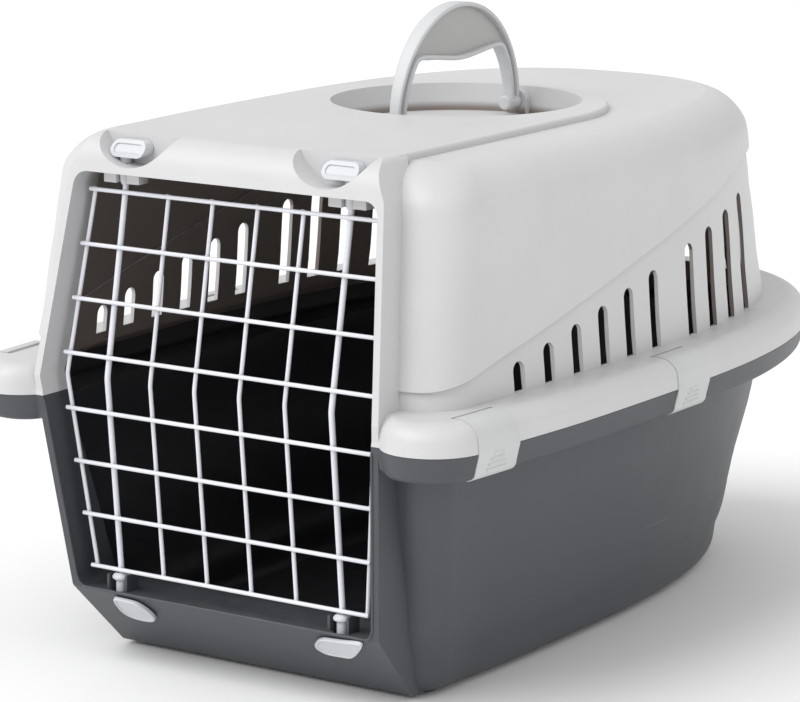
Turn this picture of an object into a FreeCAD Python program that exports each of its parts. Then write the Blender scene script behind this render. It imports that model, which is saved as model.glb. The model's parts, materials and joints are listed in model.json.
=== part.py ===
import FreeCAD, Part
import math
import os
from FreeCAD import Placement, Rotation, Vector

# Two-part pet transport carrier: an upper and a lower moulded shell that meet at a bumper rim, a welded
# wire door held by four sliding latches, four swinging rim clips and a folding handle in the roof.
# X is the width, -Y is the door end, +Z is up. The origin lies under the middle of the rim, on the floor.

doc = FreeCAD.newDocument("PetCarrier")
sheet = doc.addObject("Spreadsheet::Sheet", "Sizes")

driving = (
    # overall outline
    ("rim_half_width", 187.5, "half the width over the bumper rim"),
    ("rim_front", -280.0, "front of the bumper rim"),
    ("rim_rear", 280.0, "rear of the bumper rim"),
    ("widest_at", -38.0, "where the plan is widest"),
    ("side_bow", 2.0, "pull-in of the sides, for each 100 mm squared ahead of the widest place"),
    ("rear_power", 2.6, "roundness of the rear end in plan"),
    ("wall", 2.6, "thickness of the moulded walls"),
    # heights
    ("floor_height", 2.5, "underside of the floor, above the feet"),
    ("sill_height", 46.5, "top of the door sill"),
    ("rim_bottom", 149.5, "underside of the bumper rim"),
    ("parting", 165.5, "joint between the two shells"),
    ("parting_gap", 0.3, "gap along that joint"),
    ("rim_top", 183.5, "top of the bumper rim"),
    ("lintel_height", 300.0, "underside of the lintel over the door"),
    ("roof_height", 318.5, "roof beside the raised panel"),
    ("panel_height", 322.5, "top of the raised roof panel"),
    # upper body
    ("wall_half_width", 161.5, "half the width of the upper body just above the rim"),
    ("wall_front", -249.2, "front of the upper body just above the rim"),
    ("wall_rear", 255.4, "rear of the upper body just above the rim"),
    ("wall_corner", 30.0, "front corner radius of the upper body"),
    ("side_lean", 4.3, "lean of the upper sides, degrees"),
    ("front_lean", 10.0, "lean of the upper front, degrees"),
    ("rear_lean", 12.0, "lean of the upper rear, degrees"),
    ("shoulder", 32.0, "radius between the sides and the roof"),
    ("recess_depth", 2.6, "set-back of the slotted lower panel"),
    # rim
    ("rim_corner", 32.0, "front corner radius of the rim"),
    ("rim_round", 12.0, "rounding of the rim's upper outer edge"),
    ("rim_under_round", 6.0, "rounding of the rim's lower outer edge"),
    ("rim_draft_up", 0.10, "pull-in of the rim's face for each mm above the joint"),
    ("rim_draft_down", 0.25, "pull-in of the rim's face for each mm below the joint"),
    ("rim_crown", 2.0, "extra thickness of the rim's top, which carries the clips' pins"),
    # tub
    ("tub_top_half", 158.0, "half the width of the tub under the rim"),
    ("tub_top_front", -250.0, "front of the tub under the rim"),
    ("tub_top_rear", 258.0, "rear of the tub under the rim"),
    ("tub_foot_half", 121.0, "half the width of the tub at the floor"),
    ("tub_foot_front", -207.0, "front of the tub at the floor"),
    ("tub_foot_rear", 236.0, "rear of the tub at the floor"),
    ("tub_corner", 20.0, "front corner radius of the tub"),
    ("foot_round", 8.0, "rounding between the tub's sides and its floor"),
    # door surround
    ("kink_height", 178.0, "height at which door and surround are furthest forward"),
    ("face_kink", -270.0, "front face of the surround at that height"),
    ("face_lintel", -247.0, "front face of the surround at the lintel"),
    ("face_sill", -252.0, "front face of the surround at the sill"),
    ("chin_foot", -209.5, "foot of the sloping chin under the sill"),
    ("chin_narrow", 14.0, "how far the chin's foot ends inside the tub's"),
    ("surround_depth", 23.0, "depth of the surround, front to back"),
    ("surround_wall", 4.5, "thickness of the door jambs"),
    ("brow", 20.0, "rounding from the lintel's face to the roof"),
    ("opening_lintel", 108.0, "half the doorway's width at the lintel"),
    ("opening_kink", 119.5, "half the doorway's width at the kink"),
    ("opening_sill", 107.5, "half the doorway's width at the sill"),
    # raised roof panel and handle cup
    ("panel_half", 102.0, "half the width of the raised roof panel"),
    ("panel_end", -12.0, "centre of its round rear end"),
    ("cup_radius", 79.5, "mouth of the handle cup"),
    ("cup_floor_radius", 76.5, "floor of the handle cup"),
    ("cup_depth", 17.5, "depth of the handle cup"),
    # slots
    ("slot_width", 11.0, "width of each ventilation slot"),
    ("slot_pitch", 30.2, "spacing within a group of slots"),
    ("slot_gap", 47.4, "spacing between the two groups"),
    ("slot_first", -170.4, "place of the first slot"),
    ("slot_rise", 18.0, "height of the first slot above the rim"),
    ("slot_slope", 11.3, "rise of the slots' tops, degrees"),
    ("rear_slot_rise", 82.0, "height of the rear slots above the rim"),
    ("step_rise", 11.0, "height of the step line above the rim, round the front corners"),
    ("step_bend", -243.0, "where the step line starts to climb"),
    ("step_slope", 13.1, "rise of the step line, degrees"),
    # door
    ("column_spacing", 32.4, "spacing of the door's upright wires"),
    ("row_spacing", 32.8, "spacing of the door's cross wires"),
    ("row_above", 13.1, "from the kink up to the nearest cross wire"),
    ("row_below", 20.8, "from the kink down to the nearest cross wire"),
    ("wire_radius", 1.3, "radius of the thin wires"),
    ("rod_radius", 1.8, "radius of the two thick rods"),
    ("door_kink", -254.5, "door plane at the kink"),
    ("door_top", -234.2, "door plane at the top cross wire"),
    ("door_foot", -243.9, "door plane at the bottom cross wire"),
    ("edge_top", 103.0, "half the door's width at the top"),
    ("edge_kink", 111.0, "half the door's width at the kink"),
    ("edge_foot", 98.8, "half the door's width at the bottom"),
    ("wire_end", 0.9, "how far a thin upright runs past the middle of the outermost cross wires"),
    ("wire_overhang", 2.5, "how far a cross wire stands past the edge wire"),
    ("weld_sink", 0.1, "how deep a cross wire is welded into an upright"),
    ("bend_radius", 16.0, "bend of the uprights at the kink"),
    ("stub_bend", 5.0, "bend between a thick rod and its end"),
    ("stub_length", 8.0, "length of a rod's end above or below its bend"),
    # latches
    ("running_gap", 0.4, "clearance around a rod in its latch and a latch in its guide"),
    ("socket_wall", 1.4, "wall of the socket around a rod's end"),
    ("latch_travel", 9.0, "how far a latch slides"),
    ("upper_pad_half", 12.5, "half the width of an upper latch's thumb pad"),
    ("upper_pad_at", 76.0, "middle of an upper thumb pad, from the carrier's middle"),
    ("lower_pad_outer", 8.5, "reach of a lower thumb pad outwards from its rod"),
    ("lower_pad_inner", 23.0, "reach of a lower thumb pad inwards from its rod"),
    ("pad_border", 2.2, "width of the raised border round a thumb pad"),
    ("pad_dish", 0.9, "depth of the dish inside that border"),
    ("tab_width", 9.0, "width of each tab beside an upper latch's barrel"),
    ("tab_drop", 7.0, "how far those tabs hang below the lintel"),
    ("bracket_wall", 1.6, "thickness of the plates beside a lower latch's collar"),
    ("bracket_height", 9.5, "height of those plates above the sill"),
    ("niche_half", 27.5, "half the width of the niche behind an upper thumb pad"),
    ("niche_depth", 18.5, "height of that niche"),
    ("niche_back", -228.8, "back wall of that niche"),
    # clips
    ("clip_width", 38.0, "width of a rim clip"),
    ("clip_wall", 1.8, "thickness of a rim clip"),
    ("clip_gap", 0.3, "clearance between clip and rim"),
    ("clip_recess", 1.6, "depth of the seat for a clip in the rim's face"),
    ("clip_front_at", -232.0, "middle of the front clips"),
    ("clip_hinge_in", 17.0, "from the rim's face in to a clip's hinge"),
    ("clip_hinge_radius", 1.6, "radius of a clip's hinge knuckle"),
    ("clip_pin_radius", 1.1, "radius of a clip's hinge pin"),
    ("clip_hinge_drop", 2.2, "depth of a clip's hinge below the rim's top"),
    ("clip_rear_at", -23.5, "middle of the rear clips"),
    # handle
    ("handle_radius", 71.3, "outer radius of the arched handle about its pivot"),
    ("pivot_height", 313.5, "height of the handle's pivot"),
    ("grip_wide", 10.0, "width of the handle's rounded edge"),
    ("grip_edge", 5.0, "radial thickness of that edge"),
    ("grip_web", 3.2, "thickness of the web inside the edge"),
    ("web_bottom", 350.0, "underside of the web"),
    ("leg_wide", 8.0, "width of a handle leg"),
    ("leg_inner", 59.5, "inner face of a handle leg"),
    ("pin_radius", 3.0, "radius of the handle's pivot pins"),
    ("pin_gap", 0.1, "clearance around a pivot pin"),
    ("pin_length", 5.0, "length of a pivot pin"),
)
for line, (alias, value, note) in enumerate(driving, start=1):
    sheet.set(f"A{line}", note)
    sheet.set(f"B{line}", str(value))
    sheet.setAlias(f"B{line}", alias)
doc.recompute()


def size(alias):
    """The number held by one named cell."""
    return float(sheet.get(alias))


def tangent(alias):
    return math.tan(math.radians(size(alias)))


def blend(start, end, share):
    return start + (end - start) * share


def bind(piece, **expressions):
    """Bind properties to the sheet; a double underscore stands for a dot."""
    for name, text in expressions.items():
        piece.setExpression(name.replace("__", "."), text)
    return piece


def feature(name, shape):
    piece = doc.addObject("Part::Feature", name)
    piece.Shape = shape
    return piece


def box(name, length, width, height, x, y, z):
    """A box whose sizes and lowest corner are expressions."""
    piece = doc.addObject("Part::Box", name)
    return bind(piece, Length=length, Width=width, Height=height,
                Placement__Base__x=x, Placement__Base__y=y, Placement__Base__z=z)


def cylinder(name, radius, height, x, y, z, direction=Vector(0, 0, 1)):
    """A cylinder whose sizes and foot are expressions."""
    piece = doc.addObject("Part::Cylinder", name)
    piece.Placement = Placement(Vector(), Rotation(Vector(0, 0, 1), direction))
    return bind(piece, Radius=radius, Height=height,
                Placement__Base__x=x, Placement__Base__y=y, Placement__Base__z=z)


def cut(name, base, tool):
    piece = doc.addObject("Part::Cut", name)
    piece.Base, piece.Tool = base, tool
    return piece


def fuse(name, pieces):
    piece = doc.addObject("Part::MultiFuse", name)
    piece.Shapes = pieces
    return piece


def common(name, pieces):
    piece = doc.addObject("Part::MultiCommon", name)
    piece.Shapes = pieces
    return piece


def prism(name, points, direction, start, length, round_at=None):
    """A profile in the plane across direction, moved to start and pushed along direction.

    round_at gives the radius of each corner that is rounded, by its number.
    """
    axis = {"X": Vector(1, 0, 0), "Y": Vector(0, 1, 0), "Z": Vector(0, 0, 1)}[direction]
    place = {"X": lambda a, b: Vector(start, a, b),
             "Y": lambda a, b: Vector(a, start, b),
             "Z": lambda a, b: Vector(a, b, start)}[direction]
    corners = [place(a, b) for a, b in points]
    face = Part.Face(rounded_wire(corners, round_at or {}))
    profile = feature(name + "_profile", face)
    piece = doc.addObject("Part::Extrusion", name)
    piece.Base = profile
    piece.DirMode = "Custom"
    piece.Dir = axis
    piece.Solid = True
    bind(piece, LengthFwd=str(length))
    return piece


def rounded_wire(corners, round_at):
    """A closed outline of straight runs; a numbered corner is replaced by a tangent arc."""
    count = len(corners)
    pieces = []
    ends = []
    for number, corner in enumerate(corners):
        radius = round_at.get(number)
        if radius is None:
            ends.append((corner, corner, None))
            continue
        before = (corners[number - 1] - corner).normalize()
        after = (corners[(number + 1) % count] - corner).normalize()
        half_angle = before.getAngle(after) / 2
        reach = radius / math.tan(half_angle)
        inward = (before + after).normalize()
        middle = corner + inward * (radius / math.sin(half_angle) - radius)
        ends.append((corner + before * reach, corner + after * reach, middle))
    for number in range(count):
        first, last, middle = ends[number]
        if middle is not None:
            pieces.append(Part.Arc(first, middle, last).toShape())
        following = ends[(number + 1) % count][0]
        if last.distanceToPoint(following) > 1e-6:
            pieces.append(Part.LineSegment(last, following).toShape())
    return Part.Wire(pieces)


# ---------------------------------------------------------------- plan outlines of the shells

def plan_outline(height, half, front, rear, corner):
    """A closed outline at one height: straight front, round front corners, bowed sides, and a rear end
    that follows a superellipse with the sheet's power."""
    widest = size("widest_at")
    power = 2.0 / size("rear_power")
    start = front + corner

    def side(y):
        return half - size("side_bow") * ((y - widest) / 100.0) ** 2

    right = [Vector(side(y), y, height) for y in (blend(start, widest, share) for share in (0, 0.35, 0.7))]
    for degrees in range(0, 90, 10):
        turn = math.radians(degrees)
        right.append(Vector(half * math.cos(turn) ** power,
                            widest + (rear - widest) * math.sin(turn) ** power, height))
    left = [Vector(-point.x, point.y, height) for point in reversed(right)]
    curve = Part.BSplineCurve()
    curve.interpolate(Points=right + [Vector(0, rear, height)] + left,
                      InitialTangent=Vector(0, 1, 0), FinalTangent=Vector(0, -1, 0))
    edge = side(start)
    flat = edge - corner
    reach = corner * math.sin(math.pi / 4)

    def corner_arc(sign):
        first = Vector(sign * flat, front, height)
        middle = Vector(sign * (flat + reach), start - reach, height)
        last = Vector(sign * edge, start, height)
        return Part.Arc(first, middle, last).toShape()

    straight = Part.LineSegment(Vector(-flat, front, height), Vector(flat, front, height)).toShape()
    return Part.Wire([straight, corner_arc(1), curve.toShape(), corner_arc(-1)])


def rim_outline(height, half, front, rear, corner):
    """The rim's outline at one height: as the shells', but between the jambs its front turns back to
    their face in a rounded sweep."""
    pull = front - size("rim_front")
    face = size("face_kink") + 1 + pull
    inner = size("opening_kink") + size("surround_wall") + pull / 4
    whole = plan_outline(height, half, front, rear, corner)
    edges = whole.Edges
    straight = min(edges, key=lambda edge: edge.BoundBox.YLength)
    outer = straight.BoundBox.XMax - 0.5
    step = face - front
    radius = ((outer - inner) ** 2 + step ** 2) / (2 * step)
    half_turn = math.asin((outer - inner) / radius) / 2

    def sweep_round(sign):
        middle = Vector(sign * (outer - radius * math.sin(half_turn)),
                        front + radius * (1 - math.cos(half_turn)), height)
        return Part.Arc(Vector(sign * outer, front, height), middle,
                        Vector(sign * inner, face, height)).toShape()

    def run(first_x, last_x, y):
        return Part.LineSegment(Vector(first_x, y, height), Vector(last_x, y, height)).toShape()

    ends = [run(sign * straight.BoundBox.XMax, sign * outer, front) for sign in (1, -1)]
    kept = [edge for edge in edges if not edge.isSame(straight)]
    rounds = [sweep_round(1), sweep_round(-1), run(-inner, inner, face)]
    return Part.Wire(Part.__sortEdges__(kept + ends + rounds))


def loft(name, levels, outline=plan_outline):
    """A solid through plan outlines, one for each level (height, half, front, rear, corner)."""
    piece = doc.addObject("Part::Loft", name)
    piece.Sections = [feature(f"{name}_{number}", outline(*level)) for number, level in enumerate(levels)]
    piece.Solid = True
    return piece


def upper_levels(inset, bottom):
    """Levels of the upper body, inset inwards and downwards from its outer skin."""
    shoulder = size("shoulder") - inset
    spring = size("roof_height") - size("shoulder")
    levels = []

    def level(height, pull):
        rise = min(height, spring) - size("rim_top")
        levels.append((height,
                       size("wall_half_width") - rise * tangent("side_lean") - pull,
                       size("wall_front") + rise * tangent("front_lean") + pull,
                       size("wall_rear") - rise * tangent("rear_lean") - pull,
                       max(size("wall_corner") - pull / 3, size("wall_corner") / 3)))

    for share in (0.0, 0.22, 0.44, 0.64, 0.8, 0.92, 1.0):
        level(blend(bottom, spring, share), inset)
    for degrees in (16, 32, 48, 65, 82):
        turn = math.radians(degrees)
        level(spring + shoulder * math.sin(turn), inset + shoulder * (1 - math.cos(turn)))
    return levels


def upper_body(name, inset, bottom):
    """The upper body with its lower panel set back below the rising step line."""
    skin = loft(name + "_skin", upper_levels(inset, bottom))
    back = loft(name + "_back", upper_levels(inset + size("recess_depth"), bottom - 1))
    far = size("rim_half_width") + 50
    # the step line runs level round the front corner, climbs along the side and levels out at the rear
    bend, level = size("step_bend"), size("rim_top") + size("step_rise")
    rise_end = size("rim_rear") - 150
    top_end = level + (rise_end - bend) * tangent("step_slope")
    line = [(size("rim_front") - 20, size("rim_top") - 30),
            (size("rim_front") - 20, level - 1 + inset),
            (bend, level + inset),
            (rise_end, top_end + inset),
            (size("rim_rear") + 20, top_end + 4 + inset),
            (size("rim_rear") + 20, size("rim_top") - 30)]
    below = prism(name + "_below", line, "X", -far, 2 * far, {2: 40, 3: 60})
    return cut(name, skin, cut(name + "_band", below, back))


def rim_loft(name, inset, section):
    """The rim band through its section, given as pull-in and height of each level."""
    levels = [(height,
               size("rim_half_width") - pull - inset,
               size("rim_front") + pull + inset,
               size("rim_rear") - pull - inset,
               size("rim_corner") - (pull + inset) / 2) for pull, height in section]
    return loft(name, levels, rim_outline)


def lower_section(bottom, rounding):
    """Pull-in and height along the rim's face, from its underside up to the joint."""
    parting, draft = size("parting"), size("rim_draft_down")
    foot = bottom + rounding
    section = []
    for degrees in (90, 67, 45, 22):
        turn = math.radians(degrees)
        section.append((draft * (parting - foot) + rounding * (1 - math.cos(turn)),
                        bottom + rounding * (1 - math.sin(turn))))
    for share in (0.0, 0.25, 0.5, 0.75, 1.0):
        height = blend(foot, parting, share)
        section.append((draft * (parting - height), height))
    return section


def upper_section(top, rounding):
    """Pull-in and height along the rim's face, from the joint up to its top."""
    parting, draft = size("parting"), size("rim_draft_up")
    spring = top - rounding
    section = []
    for share in (0.0, 0.5, 1.0):
        height = blend(parting, spring, share)
        section.append((draft * (height - parting), height))
    for degrees in (22, 45, 67, 90):
        turn = math.radians(degrees)
        section.append((draft * (spring - parting) + rounding * (1 - math.cos(turn)),
                        top - rounding * (1 - math.sin(turn))))
    return section


# ---------------------------------------------------------------- door surround

def face_at(height):
    """Where the front face of the surround lies at a height."""
    kink = size("kink_height")
    if height >= kink:
        share = (height - kink) / (size("lintel_height") - kink)
        return blend(size("face_kink"), size("face_lintel"), share)
    share = (kink - height) / (kink - size("sill_height"))
    return blend(size("face_kink"), size("face_sill"), share)


def opening_at(height):
    """Half the doorway's width at a height."""
    kink = size("kink_height")
    if height >= kink:
        share = (height - kink) / (size("lintel_height") - kink)
        return blend(size("opening_kink"), size("opening_lintel"), share)
    share = (kink - height) / (kink - size("sill_height"))
    return blend(size("opening_kink"), size("opening_sill"), share)


def doorway(name, bottom, top):
    """The doorway as a tool through the front of both shells."""
    kink = size("kink_height")
    heights = [height for height in (bottom, kink, top) if bottom <= height <= top]
    right = [(opening_at(height), height) for height in heights]
    left = [(-x, z) for x, z in reversed(right)]
    start = size("rim_front") - 30
    corners = {}
    if top >= size("lintel_height"):
        corners = {len(right) - 1: 9, len(right): 9}
    if bottom <= size("sill_height"):
        corners = {0: 6, len(right) * 2 - 1: 6}
    return prism(name, right + left, "Y", start, size("wall_front") + 70 - start, corners)


def upper_surround():
    """Jambs and lintel: a band that leans back with the door and rounds over into the roof."""
    parting = size("parting") + size("parting_gap")
    kink, lintel, top = size("kink_height"), size("lintel_height"), size("panel_height")
    depth = size("surround_depth")
    crown = face_at(top)
    side_view = [(face_at(parting), parting), (face_at(kink), kink), (crown, top),
                 (crown + depth + 12, top), (face_at(lintel) + depth, lintel - 6),
                 (face_at(kink) + depth, kink), (face_at(parting) + depth, parting)]
    far = size("opening_kink") + 30
    profile = prism("upper_surround_side", side_view, "X", -far, 2 * far, {2: size("brow")})
    jamb = size("surround_wall")
    right = [(opening_at(parting) + jamb, parting), (opening_at(kink) + jamb, kink),
             (opening_at(lintel) + jamb, lintel), (size("panel_half"), top)]
    left = [(-x, z) for x, z in reversed(right)]
    start = size("rim_front") - 20
    front_view = prism("upper_surround_front", right + left, "Y", start, 120, {2: 12, 3: 6, 4: 6, 5: 12})
    return common("upper_surround", [profile, front_view])


def tub_front_at(height):
    """Front of the tub's wall at a height."""
    rise = (height - size("floor_height")) / (size("rim_bottom") - size("floor_height"))
    return blend(size("tub_foot_front"), size("tub_top_front"), rise)


def lower_surround():
    """Lower jambs, sill and the chin that slopes back to the floor."""
    parting = size("parting")
    sill, floor = size("sill_height"), size("floor_height")
    depth = size("surround_depth")
    sill_back = tub_front_at(sill) + 2 * size("wall")
    side_view = [(face_at(parting), parting), (face_at(sill), sill), (size("chin_foot"), floor),
                 (size("chin_foot") + 12, floor), (size("chin_foot") + 12, floor + 6),
                 (sill_back, sill - 8), (sill_back, sill),
                 (face_at(parting) + depth, parting)]
    far = size("opening_kink") + 30
    profile = prism("lower_surround_side", side_view, "X", -far, 2 * far, {1: 4, 2: 5})
    jamb = size("surround_wall")
    right = [(opening_at(parting) + jamb, parting), (opening_at(sill) + jamb, sill),
             (size("tub_foot_half") - size("chin_narrow"), floor)]
    left = [(-x, z) for x, z in reversed(right)]
    start = size("rim_front") - 20
    front_view = prism("lower_surround_front", left + right, "Y", start, 130, {1: 24, 4: 24})
    return common("lower_surround", [profile, front_view])


# ---------------------------------------------------------------- upper shell

def side_point(y):
    """Outer face of the rim at a place along its side, and the way that face is turned, in degrees."""
    ahead = min(y - size("widest_at"), 0) / 100.0
    turn = math.degrees(math.atan(2 * size("side_bow") * ahead / 100.0))
    return size("rim_half_width") - size("side_bow") * ahead ** 2, turn


def clip_placement(side, y):
    """Placement of a clip drawn at the origin, with its outward direction along +X."""
    reach, turn = side_point(y)
    angle = turn if side > 0 else 180 - turn
    return Placement(Vector(side * reach, y, 0), Rotation(Vector(0, 0, 1), angle))


clip_places = {
    "clip_front_right": clip_placement(1, size("clip_front_at")),
    "clip_front_left": clip_placement(-1, size("clip_front_at")),
    "clip_rear_right": clip_placement(1, size("clip_rear_at")),
    "clip_rear_left": clip_placement(-1, size("clip_rear_at")),
}


def rim_face(offset):
    """The rim's whole section beside a clip, moved outwards by an offset: points from the underside up
    and over to the hinge, with X measured from the rim's widest face."""
    below = lower_section(size("rim_bottom"), size("rim_under_round"))
    above = upper_section(size("rim_top"), size("rim_round"))[1:]
    points = [Vector(-pull, 0, height) for pull, height in below + above]
    moved = []
    for number, point in enumerate(points):
        before, after = points[max(number - 1, 0)], points[min(number + 1, len(points) - 1)]
        along = (after - before).normalize()
        moved.append(point + Vector(along.z, 0, -along.x) * offset)
    return moved


def clip_seats(name):
    """Tools that sink a seat for each clip into the rim, with room for its hinge and bores for its pins."""
    tools = []
    height = size("rim_top") - size("clip_hinge_drop")
    inward = size("clip_hinge_in")
    seat_wide = size("clip_width") + 2 * size("clip_gap")
    pin_wide = seat_wide + 2 * 3.2
    room = size("clip_hinge_radius") + size("clip_gap")
    face = rim_face(-size("clip_recess"))
    foot, crown = face[0], face[-1]
    swing = size("clip_hinge_drop") + size("clip_wall") - size("clip_recess") + 3 * size("clip_gap")
    out, beyond = 12.0, 12.0
    for place in clip_places.values():
        curve = Part.BSplineCurve()
        curve.interpolate(face)
        corners = [crown, Vector(-inward, 0, crown.z), Vector(-inward, 0, crown.z + beyond),
                   Vector(out, 0, crown.z + beyond), Vector(out, 0, foot.z - beyond),
                   Vector(foot.x, 0, foot.z - beyond), foot]
        sides = [Part.LineSegment(first, last).toShape() for first, last in zip(corners, corners[1:])]
        seat = Part.Face(Part.Wire([curve.toShape()] + sides)).extrude(Vector(0, seat_wide, 0))
        seat.translate(Vector(0, -seat_wide / 2, 0))
        groove = Part.makeCylinder(room, seat_wide, Vector(-inward, -seat_wide / 2, height), Vector(0, 1, 0))
        mouth = Part.makeBox(swing + room, seat_wide, beyond + 1,
                             Vector(-inward - swing, -seat_wide / 2, height - 1))
        bore = Part.makeCylinder(size("clip_pin_radius") + size("pin_gap"), pin_wide,
                                 Vector(-inward, -pin_wide / 2, height), Vector(0, 1, 0))
        tool = seat.fuse([groove, mouth, bore])
        tool.Placement = place
        tools.append(tool)
    return feature(name, Part.makeCompound(tools))


def slot_tools():
    """Round-topped ventilation slots through both sides, and a row of the same slots through the rear."""
    wide = size("slot_width")
    foot = size("rim_top") + 0.5
    tools = []

    def slot(place, top):
        straight = top - wide / 2
        reach = size("rim_half_width") + 20
        body = Part.makeBox(reach - 100, wide, straight - foot, Vector(100, -wide / 2, foot))
        arch = Part.makeCylinder(wide / 2, reach - 100, Vector(100, 0, straight), Vector(1, 0, 0))
        tool = body.fuse(arch)
        tool.Placement = place
        return tool

    offsets = [number * size("slot_pitch") for number in range(6)]
    offsets += [offsets[-1] + size("slot_gap") + number * size("slot_pitch") for number in range(4)]
    for offset in offsets:
        y = size("slot_first") + offset
        top = size("rim_top") + size("slot_rise") + offset * tangent("slot_slope")
        tools.append(slot(Placement(Vector(0, y, 0), Rotation()), top))
        tools.append(slot(Placement(Vector(0, y, 0), Rotation(Vector(0, 0, 1), 180)), top))
    for number in range(-3, 4):
        place = Placement(Vector(number * size("slot_pitch"), 90, 0), Rotation(Vector(0, 0, 1), 90))
        tools.append(slot(place, size("rim_top") + size("rear_slot_rise")))
    return feature("slots", Part.makeCompound(tools))


def row_height(number):
    """Height of a cross wire, counted from the top."""
    if number <= 4:
        run = size("row_above") + (4 - number) * size("row_spacing")
        full, fall = size("row_above") + 3 * size("row_spacing"), size("door_top") - size("door_kink")
        return size("kink_height") + run * math.sqrt(1 - (fall / full) ** 2)
    run = size("row_below") + (number - 5) * size("row_spacing")
    full, fall = size("row_below") + 3 * size("row_spacing"), size("door_foot") - size("door_kink")
    return size("kink_height") - run * math.sqrt(1 - (fall / full) ** 2)


def door_plane(height):
    """Where the door's plane lies at a height."""
    if height >= size("kink_height"):
        share = (height - size("kink_height")) / (row_height(1) - size("kink_height"))
        return blend(size("door_kink"), size("door_top"), share)
    share = (size("kink_height") - height) / (size("kink_height") - row_height(8))
    return blend(size("door_kink"), size("door_foot"), share)


def axis_at(height):
    """The line through the ends of a thick rod, about which the door swings."""
    share = (height - row_height(8)) / (row_height(1) - row_height(8))
    return blend(size("door_foot"), size("door_top"), share) + rod_setback


rod_setback = size("rod_radius") - size("wire_radius") + size("weld_sink") / 2
rod_at = 2.5 * size("column_spacing")
socket_radius = size("rod_radius") + size("running_gap")
barrel_radius = socket_radius + size("socket_wall")
barrel_foot = row_height(1) + 4.4
niche_middle = 70.0
niche_floor = size("panel_height") - size("niche_depth")
collar_radius = 5.5
collar_top = row_height(8) - 2.2
collar_foot = collar_top - 4.0


def upper_latch_room(side):
    """The niche behind an upper thumb pad and the guide that its barrel slides in."""
    bottom = niche_floor
    half = size("niche_half")
    top = size("panel_height") + 12
    middle = side * niche_middle
    start = size("rim_front")
    outline = Part.Wire([
        Part.Arc(Vector(middle - half, start, size("panel_height") - 1),
                 Vector(middle, start, bottom),
                 Vector(middle + half, start, size("panel_height") - 1)).toShape(),
        Part.LineSegment(Vector(middle + half, start, size("panel_height") - 1),
                         Vector(middle + half, start, top)).toShape(),
        Part.LineSegment(Vector(middle + half, start, top), Vector(middle - half, start, top)).toShape(),
        Part.LineSegment(Vector(middle - half, start, top),
                         Vector(middle - half, start, size("panel_height") - 1)).toShape()])
    niche = Part.Face(outline).extrude(Vector(0, size("niche_back") - start, 0))
    room = 2 * (barrel_radius + size("running_gap"))
    guide = Part.makeBox(room, room, top - size("lintel_height") + 20,
                         Vector(side * rod_at - room / 2, axis_at(size("lintel_height")) - room / 2,
                                size("lintel_height") - 20))
    return niche.fuse(guide)


def upper_guide_tabs(side):
    """Two short tabs that hang from the lintel beside the barrel."""
    inner = barrel_radius + size("running_gap")
    wide, deep, lintel = size("tab_width"), 9.0, size("lintel_height")
    tabs = []
    for end in (-1, 1):
        x = side * rod_at + end * (inner + wide / 2) - wide / 2
        tabs.append(Part.makeBox(wide, deep, size("tab_drop") + 2,
                                 Vector(x, axis_at(lintel) - deep / 2, lintel - size("tab_drop"))))
    return Part.makeCompound(tabs)


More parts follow.
